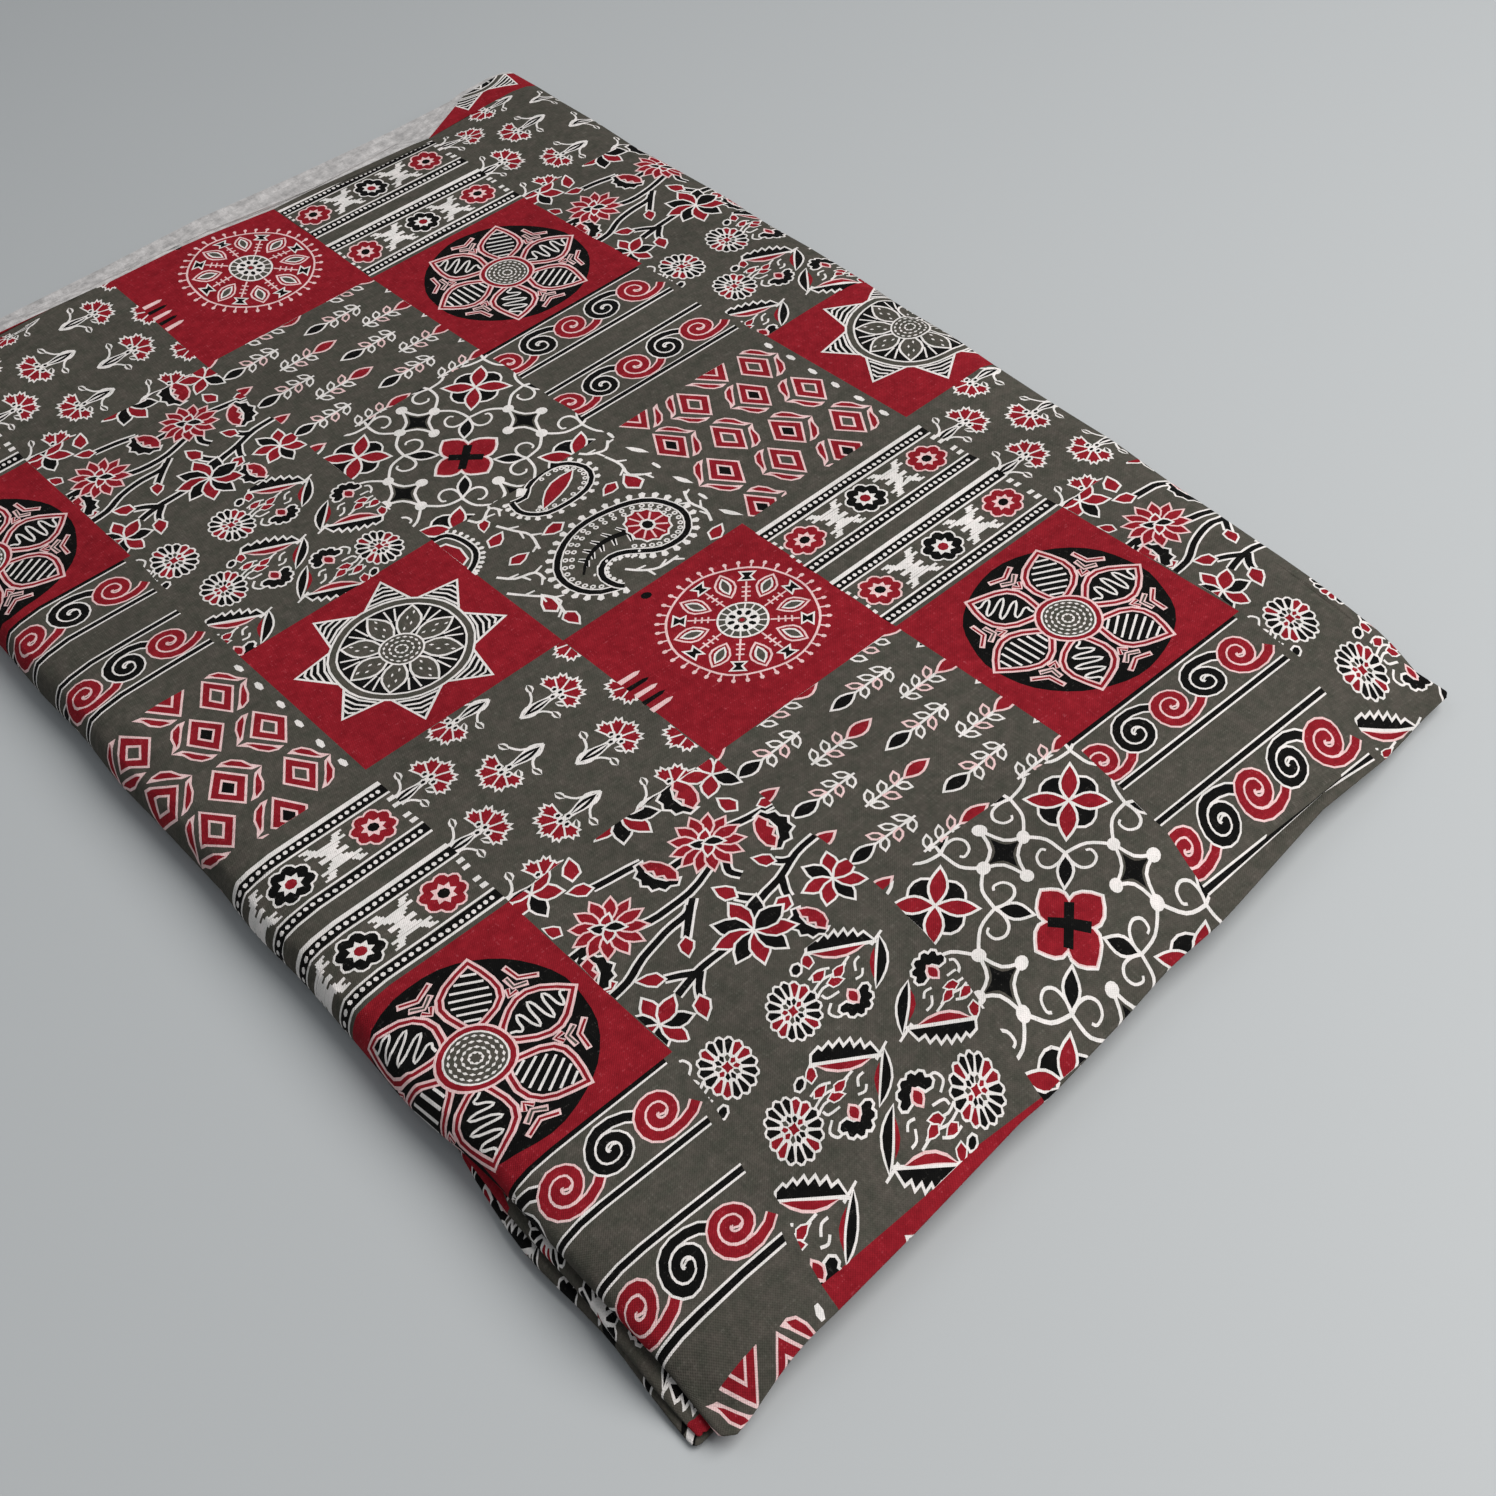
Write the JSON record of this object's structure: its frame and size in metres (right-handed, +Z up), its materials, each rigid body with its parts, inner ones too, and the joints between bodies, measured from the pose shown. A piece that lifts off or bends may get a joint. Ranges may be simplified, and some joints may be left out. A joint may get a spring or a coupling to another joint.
{
  "type": "kalamkari fabric",
  "caption": "Length of block-printed cotton, folded in half selvage to selvage and lapped back and forth into a flat pack.",
  "frame": {"origin": "on the surface that the pack rests on, under the middle of its box", "axes": "+X across the laps, +Y along their folds from the centre fold to the selvages, +Z up"},
  "size_m": [0.3648, 0.5808, 0.0209],
  "materials": {
    "printed_cotton": "matte plain-weave cotton, block printed in red, black and white on a grey-olive ground"
  },
  "bodies": {
    "root": {"cloth": "printed_cotton"}
  },
  "joints": []
}
